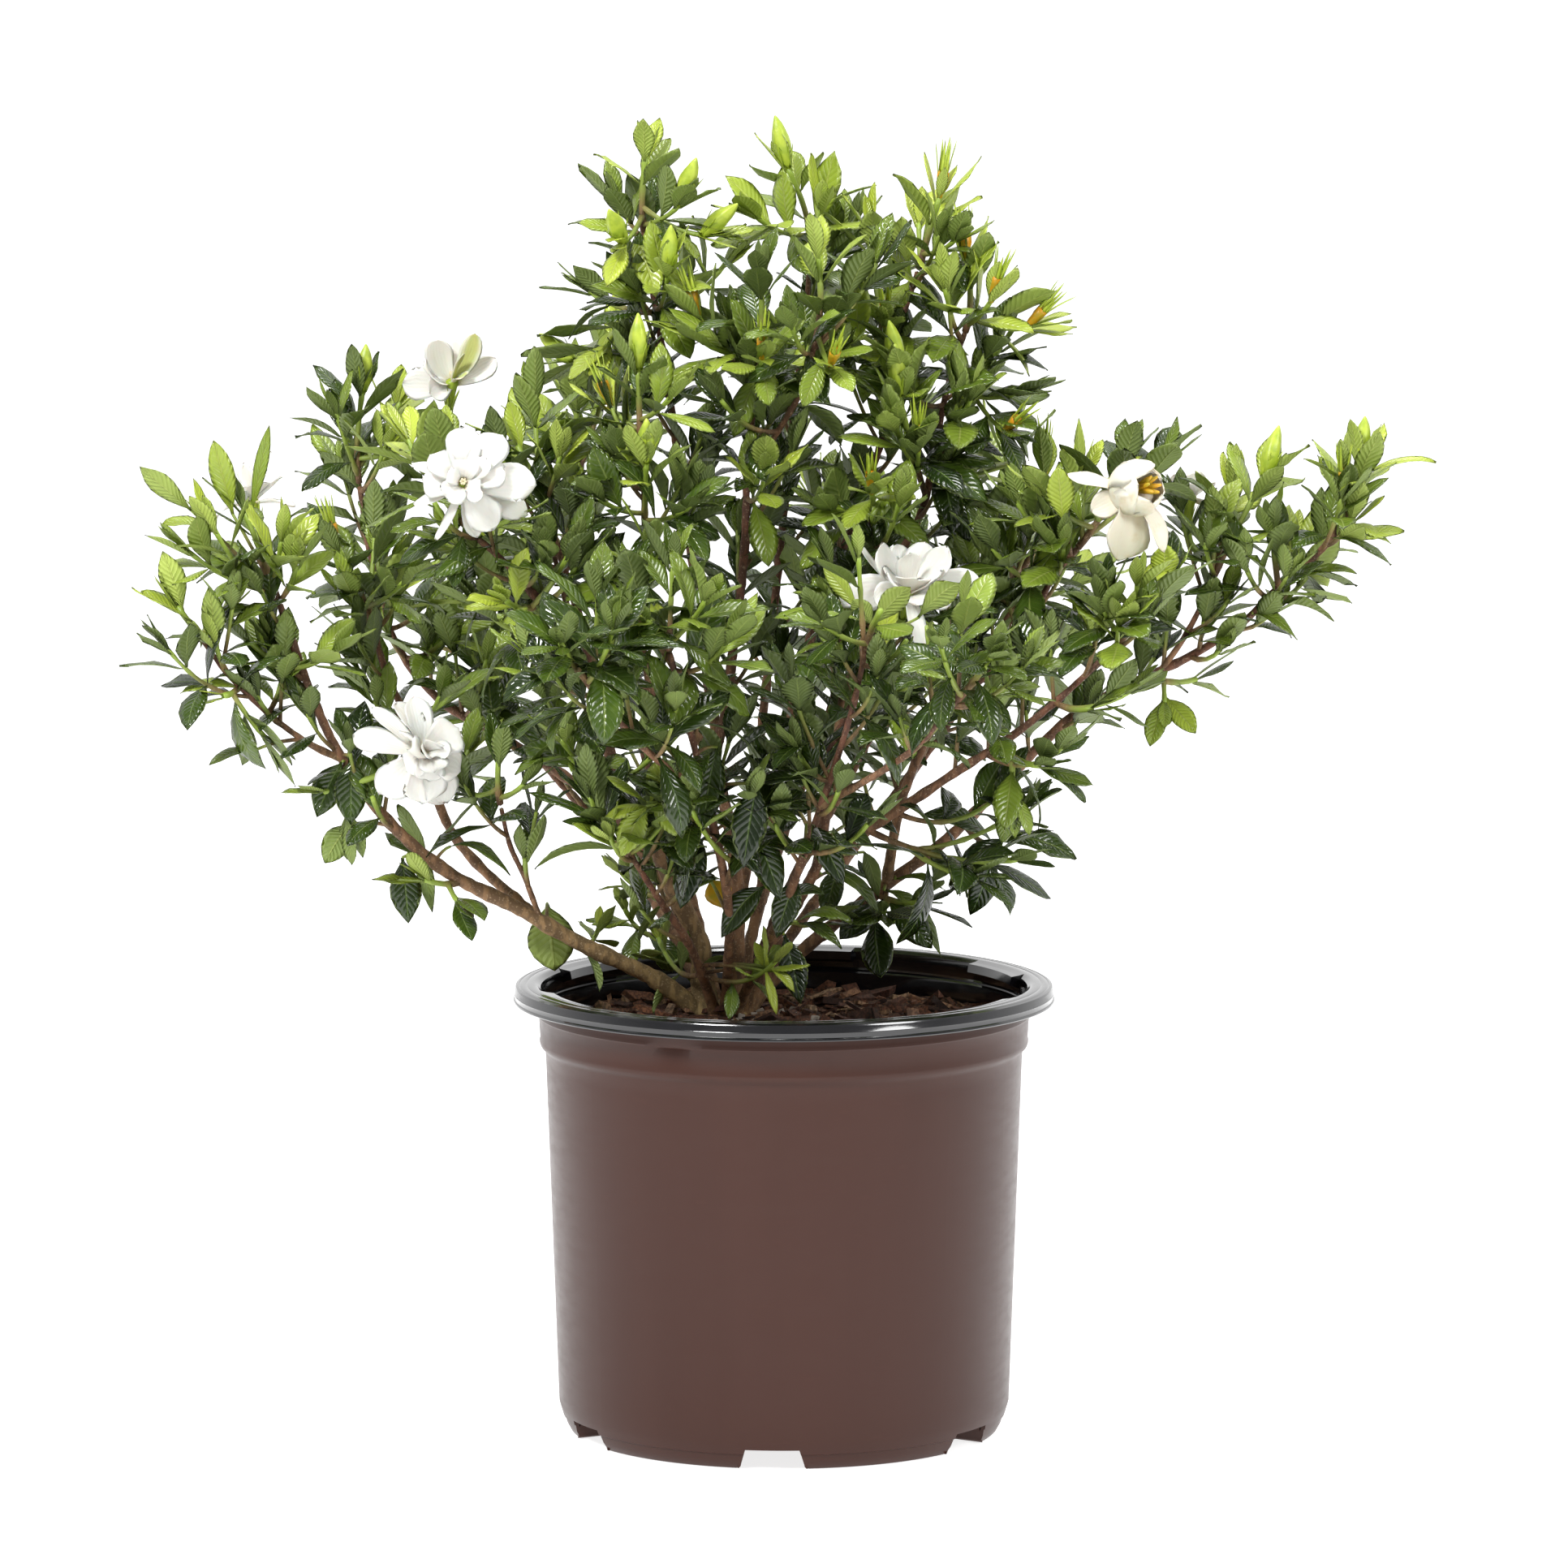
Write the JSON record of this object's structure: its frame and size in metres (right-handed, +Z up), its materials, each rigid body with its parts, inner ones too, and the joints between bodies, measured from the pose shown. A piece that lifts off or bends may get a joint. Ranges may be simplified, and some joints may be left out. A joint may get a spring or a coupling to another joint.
{
  "type": "potted gardenia",
  "caption": "Branching gardenia shrub in white flower, with glossy leaves, buds and spent calyces, growing in a round plastic nursery pot of soil.",
  "frame": {"origin": "middle of the pot's foot, on the surface that it stands on", "axes": "+Z up along the pot's axis, -Y towards the side that the picture shows, +X to the right of that view"},
  "size_m": [0.6907, 0.5116, 0.7159],
  "materials": {
    "pot": "brown moulded plastic, black at the lip and inside",
    "soil": "dark potting mix with bark chips",
    "bark": "grey-brown bark, reddish on thin stems",
    "foliage": "glossy green leaf, paler below",
    "petals": "thick waxy cream-white petal",
    "aged_petals": "petal turning cream yellow"
  },
  "bodies": {
    "root": {"bloom_far_left": "petals", "bloom_far_right": "petals", "bloom_left_lower": "petals", "bloom_left_opening": "petals", "bloom_left_upper": "petals", "bloom_right_aged": "aged_petals", "bloom_right_centre": "petals", "pot": "pot", "soil": "soil", "spray_backLeft": "foliage", "spray_backLeftTop": "foliage", "spray_backMiddle": "foliage", "spray_backRight": "foliage", "spray_backTop": "foliage", "spray_bloomLeft": "foliage", "spray_centreRight": "foliage", "spray_centreSpray": "foliage", "spray_centreTop": "foliage", "spray_centreUpper": "foliage", "spray_columnLeft": "foliage", "spray_columnRight": "foliage", "spray_farLeftEnd": "foliage", "spray_farLeftMid": "foliage", "spray_farRight": "foliage", "spray_frontHang": "foliage", "spray_frontLow": "foliage", "spray_frontMiddle": "foliage", "spray_frontRight": "foliage", "spray_frontSideLeft": "foliage", "spray_frontSideRight": "foliage", "spray_innerLeft": "foliage", "spray_leftEnd": "foliage", "spray_leftFront": "foliage", "spray_leftHang": "foliage", "spray_leftLow": "foliage", "spray_leftMiddle": "foliage", "spray_leftTop": "foliage", "spray_midRight": "foliage", "spray_rightArch": "foliage", "spray_rightDroop": "foliage", "spray_rightFoot": "foliage", "spray_rightGreen": "foliage", "spray_rightGroup": "foliage", "spray_rightGroupBack": "foliage", "spray_rightOuter": "foliage", "spray_rightThin": "foliage", "spray_rightUnder": "foliage", "spray_riseTop": "foliage", "spray_riserLow": "foliage", "spray_riserTop": "foliage", "spray_sideRight": "foliage", "spray_topLeft": "foliage", "spray_topRight": "foliage", "spray_trunkMid": "foliage", "spray_twigTop": "foliage", "spray_underBloom": "foliage", "spray_upperMid": "foliage", "wood": "bark"}
  },
  "joints": []
}
